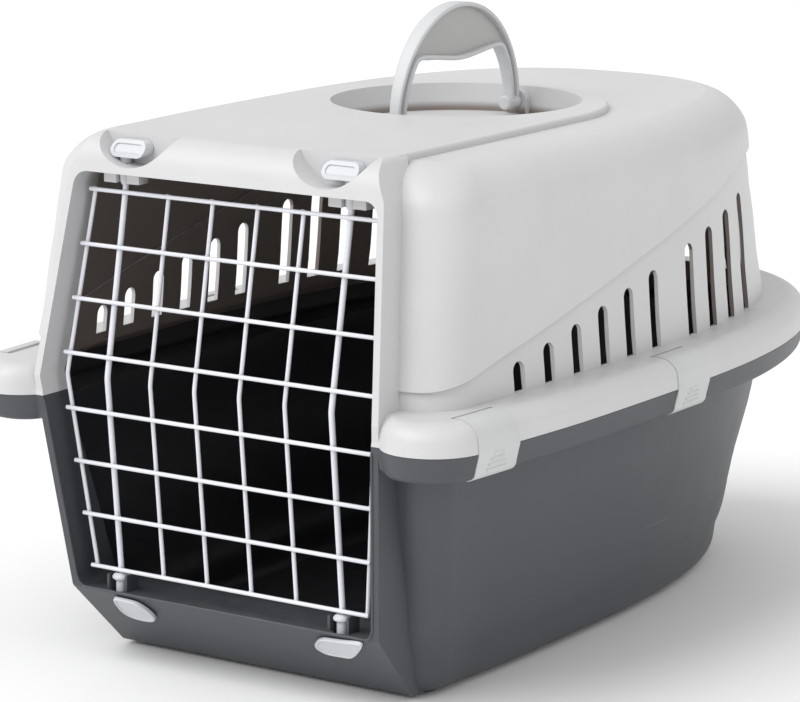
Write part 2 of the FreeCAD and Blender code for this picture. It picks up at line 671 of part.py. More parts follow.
def build_upper_shell():
    wall = size("wall")
    parting = size("parting") + size("parting_gap")
    top = size("rim_top")
    thick = wall + size("clip_recess")
    outer = upper_section(top, size("rim_round"))
    rim = rim_loft("upper_rim", 0, [(0.0, parting)] + outer[1:])
    inner = upper_section(top - thick - size("rim_crown"), size("rim_round") - thick)
    rim_room = rim_loft("upper_rim_room", thick, [(0.0, parting - 3)] + inner)
    half = size("panel_half")
    end = size("panel_end")
    foot = size("roof_height") - wall

    def raised(name, inset, bottom, height):
        """The raised roof panel: straight sides from the door end to a round rear end."""
        front = size("wall_front") + 34
        reach = half - inset
        outline = Part.Wire([
            Part.LineSegment(Vector(-reach, front, bottom), Vector(reach, front, bottom)).toShape(),
            Part.LineSegment(Vector(reach, front, bottom), Vector(reach, end, bottom)).toShape(),
            Part.Arc(Vector(reach, end, bottom), Vector(0, end + reach, bottom),
                     Vector(-reach, end, bottom)).toShape(),
            Part.LineSegment(Vector(-reach, end, bottom), Vector(-reach, front, bottom)).toShape()])
        solid = Part.Face(outline).extrude(Vector(0, 0, height))
        crown = [edge for edge in solid.Edges
                 if edge.BoundBox.ZMin > bottom + height - 0.1 and edge.BoundBox.YMax > front + 1]
        return feature(name, solid.makeFillet(2.0, crown))

    panel = raised("roof_panel", 0, foot, size("panel_height") - foot)
    panel_room = raised("roof_panel_room", wall, foot - 6, size("panel_height") - foot - wall + 6)
    body = upper_body("upper_body", 0, top - 4)
    body_room = upper_body("upper_room", wall, parting - 2)
    skin = fuse("upper_skin", [body, rim, panel])
    room = fuse("upper_cavity", [body_room, rim_room, panel_room])
    hollow = cut("upper_hollow", skin, room)
    cup_floor = "Sizes.panel_height - Sizes.cup_depth"
    cup_body = cylinder("cup_body", "Sizes.cup_radius + Sizes.wall", "Sizes.cup_depth + Sizes.wall - 1",
                        "0", "0", f"{cup_floor} - Sizes.wall")
    upper = fuse("upper_with_surround", [hollow, upper_surround(), cup_body])
    cup = doc.addObject("Part::Cone", "cup")
    bind(cup, Radius1="Sizes.cup_floor_radius",
         Radius2="Sizes.cup_radius + (Sizes.cup_radius - Sizes.cup_floor_radius) * 2 / Sizes.cup_depth",
         Height="Sizes.cup_depth + 2", Placement__Base__z=cup_floor)
    rooms = feature("latch_rooms", Part.makeCompound([upper_latch_room(1), upper_latch_room(-1)]))
    opened = cut("upper_open", upper, doorway("upper_doorway", size("parting") - 5, size("lintel_height")))
    tabs = feature("upper_tabs", Part.makeCompound([upper_guide_tabs(1), upper_guide_tabs(-1)]))
    opened = fuse("upper_guided", [cut("upper_slotted", opened, slot_tools()), tabs])
    opened = cut("upper_niched", opened, rooms)
    opened = cut("upper_cupped", opened, cup)
    opened = cut("upper_seated", opened, clip_seats("upper_clip_seats"))
    return fuse("upper_shell", [opened] + [handle_boss(end) for end in (-1, 1)])


def handle_boss(end):
    """A drilled boss against the cup's wall that carries one of the handle's pins."""
    floor = size("panel_height") - size("cup_depth")
    inner = size("handle_radius") + size("running_gap")
    outer = size("cup_floor_radius") + 2.0
    height = size("pivot_height")
    half = 7.0
    y = inner if end > 0 else -outer
    block = Part.makeBox(2 * half, outer - inner, height - floor + 1, Vector(-half, y, floor - 1))
    cap = Part.makeCylinder(half, outer - inner, Vector(0, y, height), Vector(0, 1, 0))
    bore = Part.makeCylinder(size("pin_radius") + size("pin_gap"), size("pin_length") + 0.4,
                             Vector(0, end * inner, height), Vector(0, end, 0))
    name = "handle_boss_rear" if end > 0 else "handle_boss_front"
    return feature(name, block.fuse(cap).cut(bore))


# ---------------------------------------------------------------- lower shell

def tub_levels(inset, floor):
    """Levels of the tub from its floor to the rim, inset from its outer skin."""
    bottom, top = size("floor_height"), size("parting")
    foot = size("foot_round") - inset
    slope = (size("rim_bottom") - bottom)
    levels = []

    def level(height, pull):
        rise = (height - bottom) / slope
        levels.append((height,
                       blend(size("tub_foot_half"), size("tub_top_half"), rise) - pull,
                       blend(size("tub_foot_front"), size("tub_top_front"), rise) + pull,
                       blend(size("tub_foot_rear"), size("tub_top_rear"), rise) - pull,
                       size("tub_corner") - pull / 2))

    for degrees in (8, 30, 60, 90):
        turn = math.radians(degrees)
        level(floor + foot * (1 - math.cos(turn)), inset + foot * (1 - math.sin(turn)))
    for share in (0.12, 0.3, 0.5, 0.75, 1.0):
        level(blend(floor + foot, top, share), inset)
    return levels


def build_lower_shell():
    wall = size("wall")
    parting = size("parting")
    thick = wall + size("clip_recess")
    tub = loft("tub", tub_levels(0, size("floor_height")))
    tub_room = loft("tub_room", tub_levels(wall, size("floor_height") + wall))
    rim = rim_loft("lower_rim", 0, lower_section(size("rim_bottom"), size("rim_under_round")))
    inner = lower_section(size("rim_bottom") + thick, size("rim_under_round") - wall / 2)
    rim_room = rim_loft("lower_rim_room", thick, inner + [(0.0, parting + 3)])
    above = box("above_parting", "4 * Sizes.rim_half_width", "4 * Sizes.rim_rear", "100 mm",
                "-2 * Sizes.rim_half_width", "-2 * Sizes.rim_rear", "Sizes.parting")
    skin = cut("lower_skin", fuse("lower_outer", [tub, rim]), above)
    hollow = cut("lower_hollow", skin, fuse("lower_cavity", [tub_room, rim_room]))
    feet = [cylinder(f"foot_{number}", "11 mm", "Sizes.floor_height + 1", x, y, "0")
            for number, (x, y) in enumerate((
                ("Sizes.tub_foot_half - 26", "Sizes.tub_foot_front + 22"),
                ("26 - Sizes.tub_foot_half", "Sizes.tub_foot_front + 22"),
                ("Sizes.tub_foot_half - 40", "Sizes.tub_foot_rear - 100"),
                ("40 - Sizes.tub_foot_half", "Sizes.tub_foot_rear - 100")))]
    brackets = feature("sill_brackets", Part.makeCompound([sill_brackets(1), sill_brackets(-1)]))
    lower = fuse("lower_with_surround", [hollow, lower_surround()] + feet)
    opened = cut("lower_open", lower, doorway("lower_doorway", size("sill_height"), size("parting") + 5))
    opened = fuse("lower_bracketed", [opened, brackets])
    bores = feature("sill_bores", Part.makeCompound([sill_bore(1), sill_bore(-1)]))
    bored = cut("lower_bored", opened, bores)
    return cut("lower_shell", bored, clip_seats("lower_clip_seats"))


def sill_brackets(side):
    """Two small plates on the sill beside a lower latch's collar."""
    inner = collar_radius + size("running_gap")
    thick, deep = size("bracket_wall"), 11.0
    plates = []
    for end in (-1, 1):
        x = side * rod_at + end * (inner + thick / 2) - thick / 2
        plates.append(Part.makeBox(thick, deep, size("bracket_height") + 1,
                                   Vector(x, axis_at(collar_foot) - deep / 2 + 1, size("sill_height") - 1)))
    return Part.makeCompound(plates)


def sill_bore(side):
    """Room in the sill for a lower latch's shaft, and for its collar when it is down."""
    at = Vector(side * rod_at, axis_at(collar_foot), 0)
    shaft = Part.makeCylinder(barrel_radius + size("running_gap"), 40, at + Vector(0, 0, size("sill_height") - 38))
    room = Part.makeCylinder(collar_radius + size("running_gap"), 20,
                             at + Vector(0, 0, collar_foot - size("latch_travel") - size("running_gap")))
    return shaft.fuse(room)


# ---------------------------------------------------------------- door

def open_path(points, radii):
    """Straight runs joined by tangent arcs; radii gives the bend at each inner point."""
    edges = []
    last = points[0]
    for before, corner, after, radius in zip(points, points[1:], points[2:], radii):
        back = (before - corner).normalize()
        onward = (after - corner).normalize()
        half_angle = back.getAngle(onward) / 2
        reach = radius / math.tan(half_angle)
        middle = corner + (back + onward).normalize() * (radius / math.sin(half_angle) - radius)
        edges.append(Part.LineSegment(last, corner + back * reach).toShape())
        edges.append(Part.Arc(corner + back * reach, middle, corner + onward * reach).toShape())
        last = corner + onward * reach
    edges.append(Part.LineSegment(last, points[-1]).toShape())
    return Part.Wire(edges)


def upright(name, points, radii, radius):
    """A bent wire: a circle swept along straight runs and arcs."""
    path = feature(name + "_path", open_path(points, radii))
    section = doc.addObject("Part::Circle", name + "_section")
    section.Placement = Placement(points[0], Rotation(Vector(0, 0, 1), points[1] - points[0]))
    bind(section, Radius=radius)
    piece = doc.addObject("Part::Sweep", name)
    piece.Sections = [section]
    piece.Spine = (path, [f"Edge{number + 1}" for number in range(len(path.Shape.Edges))])
    piece.Solid = True
    return piece


def build_door():
    """Eight uprights and eight cross wires; the second upright from each side is a thick rod with ends
    that stand in the latches."""
    pieces = []
    top, kink, foot = row_height(1) + 2.0, size("kink_height"), row_height(8) - 2.0
    thin_top = row_height(1) + size("wire_end")
    thin_foot = row_height(8) - size("wire_end")
    bend = size("bend_radius")
    for number in range(1, 9):
        place = number - 4.5
        name = f"door_upright_{number}"
        if number in (1, 8):
            side = 1 if number == 8 else -1
            points = [Vector(side * size("edge_top"), door_plane(thin_top), thin_top),
                      Vector(side * size("edge_kink"), door_plane(kink), kink),
                      Vector(side * size("edge_foot"), door_plane(thin_foot), thin_foot)]
            pieces.append(upright(name, points, [bend], "Sizes.wire_radius"))
        elif number in (2, 7):
            x = place * size("column_spacing")
            deeper = rod_setback
            stub = size("stub_length")
            points = [Vector(x, axis_at(top + stub), top + stub), Vector(x, axis_at(top), top),
                      Vector(x, door_plane(kink) + deeper, kink),
                      Vector(x, axis_at(foot), foot), Vector(x, axis_at(foot - stub), foot - stub)]
            bends = [size("stub_bend"), bend, size("stub_bend")]
            pieces.append(upright(name, points, bends, "Sizes.rod_radius"))
        else:
            x = place * size("column_spacing")
            points = [Vector(x, door_plane(thin_top), thin_top), Vector(x, door_plane(kink), kink),
                      Vector(x, door_plane(thin_foot), thin_foot)]
            pieces.append(upright(name, points, [bend], "Sizes.wire_radius"))
    for number in range(1, 9):
        height = row_height(number)
        above = height >= kink
        share = abs(height - kink) / (abs(row_height(1) - kink) if above else abs(row_height(8) - kink))
        half = blend(size("edge_kink"), size("edge_top") if above else size("edge_foot"), share)
        half += size("wire_overhang")
        ahead = 2 * size("wire_radius") - size("weld_sink")
        pieces.append(cylinder(f"door_cross_wire_{number}", "Sizes.wire_radius", str(2 * half),
                               str(-half), str(door_plane(height) - ahead), str(height), Vector(1, 0, 0)))
    return pieces


# ---------------------------------------------------------------- latches

def stadium(middle_x, middle_z, half, radius, y, depth):
    """A flat bar with round ends, lying across the door end."""
    bar = Part.makeBox(2 * (half - radius), depth, 2 * radius,
                       Vector(middle_x - half + radius, y, middle_z - radius))
    ends = [Part.makeCylinder(radius, depth, Vector(middle_x + end * (half - radius), y, middle_z),
                              Vector(0, 1, 0)) for end in (-1, 1)]
    return bar.fuse(ends)


def build_upper_latch(side, name):
    """Thumb pad, stem and barrel of an upper latch; it slides upwards off the rod's end."""
    x = side * rod_at
    pad_x = side * size("upper_pad_at")
    back = size("niche_back") - size("running_gap")
    middle_z = niche_floor + 10.0
    half, radius = size("upper_pad_half"), 5.0
    border, dish_depth = size("pad_border"), size("pad_dish")
    y = axis_at(size("lintel_height"))
    low, high = middle_z - radius, middle_z + radius

    def across(points):
        slab = Part.Face(Part.makePolygon(points + points[:1])).extrude(Vector(200, 0, 0))
        slab.translate(Vector(pad_x - 100, 0, 0))
        return slab

    front = [Vector(0, back - 10.5, low), Vector(0, back - 9.5, low + 3), Vector(0, back - 5, high)]
    pad = across([Vector(0, back, low)] + front + [Vector(0, back, high)])
    pad = pad.common(stadium(pad_x, middle_z, half, radius, back - 20, 20))
    ahead = [point + Vector(0, dish_depth, 0) for point in front]
    dish = across([Vector(0, back - 20, low)] + ahead + [Vector(0, back - 20, high)])
    dish = dish.common(stadium(pad_x, middle_z, half - border, radius - border, back - 20, 20))
    tip = Part.makeCone(barrel_radius - 0.9, barrel_radius, 2.5, Vector(x, y, barrel_foot))
    barrel = Part.makeCylinder(barrel_radius, low + 2 - barrel_foot - 2.5, Vector(x, y, barrel_foot + 2.5))
    socket = Part.makeCylinder(socket_radius, row_height(1) + 2 + size("stub_length") + 1.2 - barrel_foot,
                               Vector(x, y, barrel_foot))
    return feature(name, pad.fuse([tip, barrel]).cut(socket).cut(dish).removeSplitter())


def chin_at(height):
    """Where the sloping chin lies at a height."""
    share = (size("sill_height") - height) / (size("sill_height") - size("floor_height"))
    return blend(size("face_sill"), size("chin_foot"), share)


def build_lower_latch(side, name):
    """Leaf-shaped thumb pad, shaft and collar of a lower latch; it slides downwards off the rod's end."""
    x = side * rod_at
    y = axis_at(collar_foot)
    high, low = size("sill_height") - 4.5, size("sill_height") - 17.5
    gap, border = 1.0, size("pad_border")
    outer, inner = size("lower_pad_outer"), size("lower_pad_inner")

    def slab(near, far_low, far_high):
        points = [Vector(0, chin_at(high) - near, high), Vector(0, chin_at(low) - near, low),
                  Vector(0, chin_at(low) - far_low, low), Vector(0, chin_at(high) - far_high, high)]
        piece = Part.Face(Part.makePolygon(points + points[:1])).extrude(Vector(200, 0, 0))
        piece.translate(Vector(x - 100, 0, 0))
        return piece

    def leaf(inset):
        corners = [(outer - inset, high - inset), (-inner + inset, high - inset),
                   (-inner + inset, low + inset), (outer - 8.0 - inset / 2, low + inset)]
        points = [Vector(x + side * a, y + 30, b) for a, b in corners]
        rounding = {0: 1.5, 1: 5.0 - inset, 2: 5.5 - inset, 3: 6.0}
        return Part.Face(rounded_wire(points, rounding)).extrude(Vector(0, -60, 0))

    pad = slab(gap, gap + 4.5, gap + 3.5).common(leaf(0))
    dish = slab(gap + 4.5 - size("pad_dish"), 20, 20).common(leaf(border))
    pad = pad.cut(dish)
    shaft = Part.makeCylinder(barrel_radius - 0.2, collar_top - high + 3.5, Vector(x, y, high - 3.5))
    dome = 1.8
    collar = Part.makeCylinder(collar_radius, collar_top - collar_foot - dome, Vector(x, y, collar_foot))
    crown = Part.makeCone(collar_radius, collar_radius - dome, dome, Vector(x, y, collar_top - dome))
    depth = collar_top - (row_height(8) - 2 - size("stub_length")) + 0.6
    socket = Part.makeCylinder(socket_radius, depth, Vector(x, y, collar_top - depth))
    return feature(name, pad.fuse([shaft, collar, crown]).cut(socket).removeSplitter())


# ---------------------------------------------------------------- clips and handle

def build_clip(name, place):
    """A clip that is hinged in the rim's top and lies over both shells' faces in its seat."""
    width, wall = size("clip_width"), size("clip_wall")
    inner = rim_face(size("clip_gap") - size("clip_recess"))
    outer = rim_face(size("clip_gap") - size("clip_recess") + wall)
    inward = size("clip_hinge_in")
    height = size("rim_top") - size("clip_hinge_drop")
    skins = []
    for face in (inner, outer):
        curve = Part.BSplineCurve()
        curve.interpolate(face)
        skins.append(curve.toShape())
    corners = [outer[-1], Vector(-inward, 0, outer[-1].z), Vector(-inward, 0, inner[-1].z), inner[-1]]
    joins = [Part.LineSegment(first, last).toShape() for first, last in zip(corners, corners[1:])]
    joins.append(Part.LineSegment(inner[0], outer[0]).toShape())
    strap = Part.Face(Part.Wire(Part.__sortEdges__(skins + joins))).extrude(Vector(0, width, 0))
    strap.translate(Vector(0, -width / 2, 0))
    knuckle = Part.makeCylinder(size("clip_hinge_radius"), width, Vector(-inward, -width / 2, height),
                                Vector(0, 1, 0))
    reach = width / 2 + size("clip_gap") + 2.8
    pin = Part.makeCylinder(size("clip_pin_radius"), 2 * reach, Vector(-inward, -reach, height), Vector(0, 1, 0))
    ridges = []
    for number in range(4):
        at = blend(outer[3], outer[8], (number + 0.5) / 4)
        half = 9.0 - 1.5 * number
        ridges.append(Part.makeCylinder(0.9, 2 * half, Vector(at.x - 0.35, -half, at.z), Vector(0, 1, 0)))
    piece = feature(name, strap.fuse([knuckle, pin] + ridges).removeSplitter())
    piece.Placement = place
    return piece


def build_handle():
    """An arched handle with a webbed grip, two legs and a pivot pin at each end."""
    radius, pivot = size("handle_radius"), size("pivot_height")
    wide, edge, web = size("grip_wide"), size("grip_edge"), size("grip_web")
    leg, inner, sill = size("leg_wide"), size("leg_inner"), size("web_bottom")
    across = Vector(1, 0, 0)

    def disc(reach, thickness):
        return Part.makeCylinder(reach, thickness, Vector(-thickness / 2, 0, pivot), across)

    above = Part.makeBox(200, 400, 200, Vector(-100, -200, pivot))
    rim = disc(radius, wide).cut(disc(radius - edge, wide + 2)).common(above)
    upper = Part.makeBox(200, 400, 200, Vector(-100, -200, sill))
    plate = disc(radius - edge / 2, web).common(upper)
    chord = math.sqrt((radius - 1) ** 2 - (sill - pivot) ** 2)
    lip = Part.makeBox(wide, 2 * chord, 4.0, Vector(-wide / 2, -chord, sill))
    lip = lip.common(disc(radius - 0.5, wide))
    band = Part.makeBox(leg, 400, sill + 2 - pivot, Vector(-leg / 2, -200, pivot))
    gap = Part.makeBox(leg + 2, 2 * inner, 200, Vector(-leg / 2 - 1, -inner, pivot - 50))
    legs = disc(radius, leg).common(band).cut(gap)
    feet = []
    for end in (-1, 1):
        start = inner if end > 0 else -radius
        foot = Part.makeCylinder(leg / 2 + 1.5, radius - inner, Vector(0, start, pivot), Vector(0, 1, 0))
        pin = Part.makeCylinder(size("pin_radius"), size("pin_length") + size("running_gap"),
                                Vector(0, end * radius - end * 0.4, pivot), Vector(0, end, 0))
        feet += [foot, pin]
    return feature("handle", rim.fuse([plate, lip, legs] + feet).removeSplitter())


nodes = [build_lower_shell(), build_upper_shell()]
nodes += build_door()
nodes += [build_upper_latch(1, "top_latch_right"), build_upper_latch(-1, "top_latch_left"),
          build_lower_latch(1, "bottom_latch_right"), build_lower_latch(-1, "bottom_latch_left")]
nodes += [build_clip(name, place) for name, place in clip_places.items()]
nodes.append(build_handle())
for node in nodes:
    node.Label = node.Name
doc.recompute()

for piece in doc.Objects:
    if "Invalid" in piece.State or "Error" in piece.State:
        raise SystemExit(f"{piece.Name} did not build: {piece.State}")
os.makedirs("parts", exist_ok=True)
for node in nodes:
    if node.Shape.isNull() or not node.Shape.isValid() or not node.Shape.Solids:
        raise SystemExit(f"{node.Label} has no valid solid")
    node.Shape.exportStep(os.path.join("parts", node.Label + ".step"))
    bounds = node.Shape.BoundBox
    print(f"{node.Label}: {len(node.Shape.Solids)} solid, {node.Shape.Volume / 1000:.1f} cm3, "
          f"x {bounds.XMin:.1f}..{bounds.XMax:.1f} y {bounds.YMin:.1f}..{bounds.YMax:.1f} "
          f"z {bounds.ZMin:.1f}..{bounds.ZMax:.1f}")
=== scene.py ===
import json
import math
import bmesh
import bpy
import numpy as np
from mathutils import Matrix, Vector


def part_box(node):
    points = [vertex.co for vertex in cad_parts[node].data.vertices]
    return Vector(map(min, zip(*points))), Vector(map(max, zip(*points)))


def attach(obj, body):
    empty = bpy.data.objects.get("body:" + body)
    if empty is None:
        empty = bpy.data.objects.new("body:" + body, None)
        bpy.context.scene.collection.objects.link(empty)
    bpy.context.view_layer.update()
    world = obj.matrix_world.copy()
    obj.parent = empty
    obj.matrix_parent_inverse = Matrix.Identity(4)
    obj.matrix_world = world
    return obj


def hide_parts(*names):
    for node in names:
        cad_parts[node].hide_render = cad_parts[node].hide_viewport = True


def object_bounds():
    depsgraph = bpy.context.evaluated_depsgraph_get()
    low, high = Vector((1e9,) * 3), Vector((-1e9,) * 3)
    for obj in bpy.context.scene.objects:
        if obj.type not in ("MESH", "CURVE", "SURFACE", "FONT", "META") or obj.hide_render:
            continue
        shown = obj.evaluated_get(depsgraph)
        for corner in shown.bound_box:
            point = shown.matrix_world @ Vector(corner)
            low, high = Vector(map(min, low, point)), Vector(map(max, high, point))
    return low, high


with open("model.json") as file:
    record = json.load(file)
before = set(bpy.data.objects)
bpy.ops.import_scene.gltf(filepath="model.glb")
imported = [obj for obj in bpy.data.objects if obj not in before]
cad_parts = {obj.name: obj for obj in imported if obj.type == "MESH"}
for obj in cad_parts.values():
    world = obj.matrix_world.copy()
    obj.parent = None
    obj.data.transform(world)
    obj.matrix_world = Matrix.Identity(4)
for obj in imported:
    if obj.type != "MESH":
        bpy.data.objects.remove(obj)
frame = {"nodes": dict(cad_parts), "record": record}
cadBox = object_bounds()
scene = bpy.context.scene
nodes = frame["nodes"]
print("frame loaded:", len(nodes), "CAD nodes")


def jointNamed(name):
    return next(joint for joint in frame["record"]["behaviour"]["joints"] if joint["name"] == name)


def newGroup(name, inputs, outputs):
    # an empty shader group with named sockets; returns the tree and its two end nodes
    tree = bpy.data.node_groups.new(name, "ShaderNodeTree")
    for label, kind, value in inputs:
        socket = tree.interface.new_socket(name=label, in_out="INPUT", socket_type=kind)
        socket.default_value = value
    for label, kind in outputs:
        tree.interface.new_socket(name=label, in_out="OUTPUT", socket_type=kind)
    return tree, tree.nodes.new("NodeGroupInput"), tree.nodes.new("NodeGroupOutput")


def place(tree, kind, **settings):
    node = tree.nodes.new(kind)
    for name, value in settings.items():
        setattr(node, name, value)
    return node


def wire(tree, source, target):
    tree.links.new(source, target)


def maths(tree, operation, first, second=None, clamp=False):
    # one Math node fed by sockets or plain numbers
    node = place(tree, "ShaderNodeMath", operation=operation, use_clamp=clamp)
    for slot, value in zip(node.inputs, (first, second)):
        if value is None:
            continue
        if isinstance(value, (int, float)):
            slot.default_value = value
        else:
            wire(tree, value, slot)
    return node.outputs[0]


def noise(tree, coordinates, scale, detail=3.0, rough=0.55):
    node = place(tree, "ShaderNodeTexNoise")
    node.inputs["Detail"].default_value = detail
    node.inputs["Roughness"].default_value = rough
    if isinstance(scale, (int, float)):
        node.inputs["Scale"].default_value = scale
    else:
        wire(tree, scale, node.inputs["Scale"])
    wire(tree, coordinates, node.inputs["Vector"])
    return node.outputs["Fac"]


def spread(tree, value, fromLow, fromHigh, toLow=0.0, toHigh=1.0, smooth=True):
    node = place(tree, "ShaderNodeMapRange", interpolation_type="SMOOTHSTEP" if smooth else "LINEAR")
    wire(tree, value, node.inputs["Value"])
    for label, number in (("From Min", fromLow), ("From Max", fromHigh),
                          ("To Min", toLow), ("To Max", toHigh)):
        node.inputs[label].default_value = number
    return node.outputs["Result"]


grainShape = {"peelSize": 140.0, "pitLow": 0.30, "pitHigh": 0.62}


def mouldGrainGroup():
    # spark-eroded mould grain: two noises, a fine pebble and a softer orange peel, added as one height
    tree, entry, leave = newGroup(
        "mouldGrain",
        [("Grain Size", "NodeSocketFloat", 900.0), ("Peel", "NodeSocketFloat", 0.4)],
        [("Height", "NodeSocketFloat"), ("Pits", "NodeSocketFloat")])
    here = place(tree, "ShaderNodeTexCoord").outputs["Object"]
    pebble = noise(tree, here, entry.outputs["Grain Size"], 2.0, 0.6)
    peel = noise(tree, here, grainShape["peelSize"], 2.0, 0.5)
    soft = maths(tree, "MULTIPLY", peel, entry.outputs["Peel"])
    wire(tree, maths(tree, "ADD", pebble, soft), leave.inputs["Height"])
    wire(tree, spread(tree, pebble, grainShape["pitLow"], grainShape["pitHigh"]), leave.inputs["Pits"])
    return tree


wearShape = {"cloud": (0.30, 0.70), "upward": (0.45, 0.98), "speckSize": 60.0, "speck": (0.45, 0.75),
             "scuffStretch": (34.0, 12.0, 420.0), "scuffLine": (0.70, 0.78),
             "patchSize": 14.0, "patch": (0.50, 0.66)}


def handlingGroup():
    # everyday handling: faint cloudy shade, dust on faces that look up, and thin scuffs drawn out
    # along the sides
    tree, entry, leave = newGroup(
        "handling",
        [("Cloud Size", "NodeSocketFloat", 9.0), ("Scuff Amount", "NodeSocketFloat", 0.5)],
        [("Cloud", "NodeSocketFloat"), ("Dust", "NodeSocketFloat"), ("Scuff", "NodeSocketFloat")])
    here = place(tree, "ShaderNodeTexCoord").outputs["Object"]
    cloud = noise(tree, here, entry.outputs["Cloud Size"], 4.0, 0.6)
    wire(tree, spread(tree, cloud, *wearShape["cloud"]), leave.inputs["Cloud"])
    facing = place(tree, "ShaderNodeSeparateXYZ")
    wire(tree, place(tree, "ShaderNodeNewGeometry").outputs["Normal"], facing.inputs[0])
    upward = spread(tree, facing.outputs["Z"], *wearShape["upward"])
    speck = spread(tree, noise(tree, here, wearShape["speckSize"], 5.0, 0.7), *wearShape["speck"])
    wire(tree, maths(tree, "MULTIPLY", upward, speck), leave.inputs["Dust"])
    drawn = place(tree, "ShaderNodeMapping")
    drawn.inputs["Scale"].default_value = wearShape["scuffStretch"]
    wire(tree, here, drawn.inputs["Vector"])
    thin = spread(tree, noise(tree, drawn.outputs[0], 1.0, 2.0, 0.5), *wearShape["scuffLine"])
    patch = spread(tree, noise(tree, here, wearShape["patchSize"], 1.0, 0.5), *wearShape["patch"])
    scuff = maths(tree, "MULTIPLY", thin, patch)
    wire(tree, maths(tree, "MULTIPLY", scuff, entry.outputs["Scuff Amount"], True), leave.inputs["Scuff"])
    return tree


mouldGrain = mouldGrainGroup()
handling = handlingGroup()


def toLinear(shade):
    # a colour picked on screen, 0 to 255, as the linear value that the shader takes
    c = np.array(shade, float) / 255.0
    return tuple(np.where(c <= 0.04045, c / 12.92, ((c + 0.055) / 1.055) ** 2.4)) + (1.0,)


def colourMix(tree, factor, first, second):
    node = place(tree, "ShaderNodeMix", data_type="RGBA")
    wire(tree, factor, node.inputs["Factor"])
    for slot, value in ((node.inputs[6], first), (node.inputs[7], second)):
        if isinstance(value, tuple):
            slot.default_value = value
        else:
            wire(tree, value, slot)
    return node.outputs[2]


# how the painted shade inside the shells fades in: by how far the normal faces inward, behind the jambs and
# under the top
hollowFade = {"inward": (0.02, 0.05), "front": 0.02, "top": 0.006}


def paintedShadeMask(tree, look):
    # where painted shade goes, a darker colour standing in for the shade in a hollow: the piece's own
    # painted-shade value, or for a shell its inner side, found by whether the normal points back to the
    # middle, behind the door jambs
    if "hollowCentre" not in look:
        recess = place(tree, "ShaderNodeAttribute", attribute_name="recess").outputs["Fac"]
        return maths(tree, "MULTIPLY", recess, look["hollowAmount"])
    here = place(tree, "ShaderNodeTexCoord").outputs["Object"]
    back = place(tree, "ShaderNodeVectorMath", operation="SUBTRACT")
    back.inputs[0].default_value = look["hollowCentre"]
    wire(tree, here, back.inputs[1])
    facing = place(tree, "ShaderNodeVectorMath", operation="DOT_PRODUCT")
    wire(tree, back.outputs[0], facing.inputs[0])
    wire(tree, place(tree, "ShaderNodeNewGeometry").outputs["Normal"], facing.inputs[1])
    inside = spread(tree, facing.outputs["Value"], *hollowFade["inward"])
    depth = place(tree, "ShaderNodeSeparateXYZ")
    wire(tree, here, depth.inputs[0])
    behind = spread(tree, depth.outputs["Y"], look["hollowFront"], look["hollowFront"] + hollowFade["front"])
    below = spread(tree, depth.outputs["Z"], look["hollowTop"], look["hollowTop"] - hollowFade["top"])
    mask = maths(tree, "MULTIPLY", maths(tree, "MULTIPLY", inside, behind), below)
    return maths(tree, "MULTIPLY", mask, look["hollowAmount"])


plasticFinish = {"scuffRough": 0.12, "refraction": 1.49}


def mouldedPlastic(name, look):
    # polypropylene or similar: base shade, cloudy variation, dust, scuffs and mould grain, and where the
    # look asks for it, painted shade in hollows
    material = bpy.data.materials.new(name)
    material.use_nodes = True
    tree = material.node_tree
    shader = tree.nodes["Principled BSDF"]
    grain = place(tree, "ShaderNodeGroup", node_tree=mouldGrain)
    grain.inputs["Grain Size"].default_value = look["grainSize"]
    grain.inputs["Peel"].default_value = look["peel"]
    wear = place(tree, "ShaderNodeGroup", node_tree=handling)
    wear.inputs["Cloud Size"].default_value = look["cloudSize"]
    wear.inputs["Scuff Amount"].default_value = look["scuff"]
    shade = colourMix(tree, wear.outputs["Cloud"], toLinear(look["shadeDark"]), toLinear(look["shadeLight"]))
    pits = maths(tree, "MULTIPLY", grain.outputs["Pits"], look["pitShade"])
    shade = colourMix(tree, pits, shade, toLinear(look["shadeLight"]))
    dusty = maths(tree, "MULTIPLY", wear.outputs["Dust"], look["dust"])
    shade = colourMix(tree, dusty, shade, toLinear(look["dustShade"]))
    shade = colourMix(tree, wear.outputs["Scuff"], shade, toLinear(look["scuffShade"]))
    # painted shade: inner sides and sunk parts get a darker colour in place of the shade that falls there
    if "hollowShade" in look:
        hollow = paintedShadeMask(tree, look)
        shade = colourMix(tree, hollow, shade, toLinear(look["hollowShade"]))
    wire(tree, shade, shader.inputs["Base Color"])
    rough = spread(tree, wear.outputs["Cloud"], 0.0, 1.0, look["roughLow"], look["roughHigh"])
    scuffed = maths(tree, "MULTIPLY", wear.outputs["Scuff"], plasticFinish["scuffRough"])
    rough = maths(tree, "ADD", rough, scuffed)
    wire(tree, rough, shader.inputs["Roughness"])
    bump = place(tree, "ShaderNodeBump")
    bump.inputs["Strength"].default_value = look["bump"]
    bump.inputs["Distance"].default_value = look["grainDepth"]
    wire(tree, grain.outputs["Height"], bump.inputs["Height"])
    wire(tree, bump.outputs["Normal"], shader.inputs["Normal"])
    shader.inputs["IOR"].default_value = plasticFinish["refraction"]
    return material


